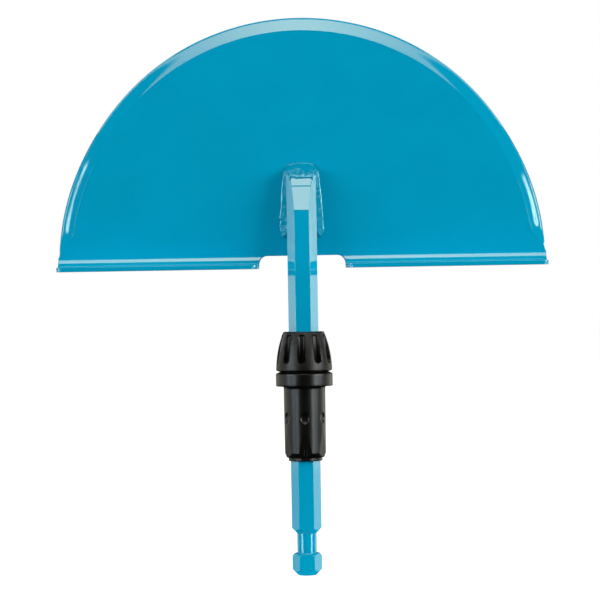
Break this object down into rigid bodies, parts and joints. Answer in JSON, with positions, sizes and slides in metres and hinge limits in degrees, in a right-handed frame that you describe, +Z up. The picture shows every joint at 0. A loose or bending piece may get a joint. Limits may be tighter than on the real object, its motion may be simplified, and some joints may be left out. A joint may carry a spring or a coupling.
{
  "type": "half moon edger head",
  "caption": "Half moon lawn edger head: a bevelled half-disc blade with folded foot treads, welded to a cranked hexagon shank that slides in a handle plug and is held by a fluted clamp nut.",
  "frame": {"origin": "on the shank's axis at the top of the handle plug, level with the flange's underside", "axes": "+Z up along the shank towards the blade, +Y from the treads' front edges to the blade's back, +X to the right seen from the front"},
  "size_m": [0.2296, 0.0284, 0.2608],
  "materials": {
    "paint": "glossy turquoise powder coat",
    "black_plastic": "satin black moulding",
    "grey_plastic": "plain grey moulding"
  },
  "bodies": {
    "sleeve": {"sleeve": "black_plastic"},
    "head": {"blade": "paint", "shank": "paint", "weld_left": "paint", "weld_right": "paint", "weld_toe": "paint"},
    "clamp_ring": {"clamp_ring": "grey_plastic"},
    "clamp_nut": {"clamp_nut": "black_plastic"}
  },
  "joints": [
    {"name": "shank_slide", "type": "slide", "parent": "sleeve", "child": "head", "axis": [0, 0, 1], "range_m": [-0.018, 0.03]},
    {"name": "ring_slide", "type": "slide", "parent": "sleeve", "child": "clamp_ring", "axis": [0, 0, 1], "range_m": [0, 0.005]},
    {"name": "nut_turn", "type": "hinge", "parent": "clamp_ring", "child": "clamp_nut", "pos_m": [0, 0, 0.016], "axis": [0, 0, 1], "range_deg": [0, 720]}
  ],
  "couplings": [
    {"joint": "ring_slide", "follows": "nut_turn", "m_per_rad": 0.00039789}
  ]
}
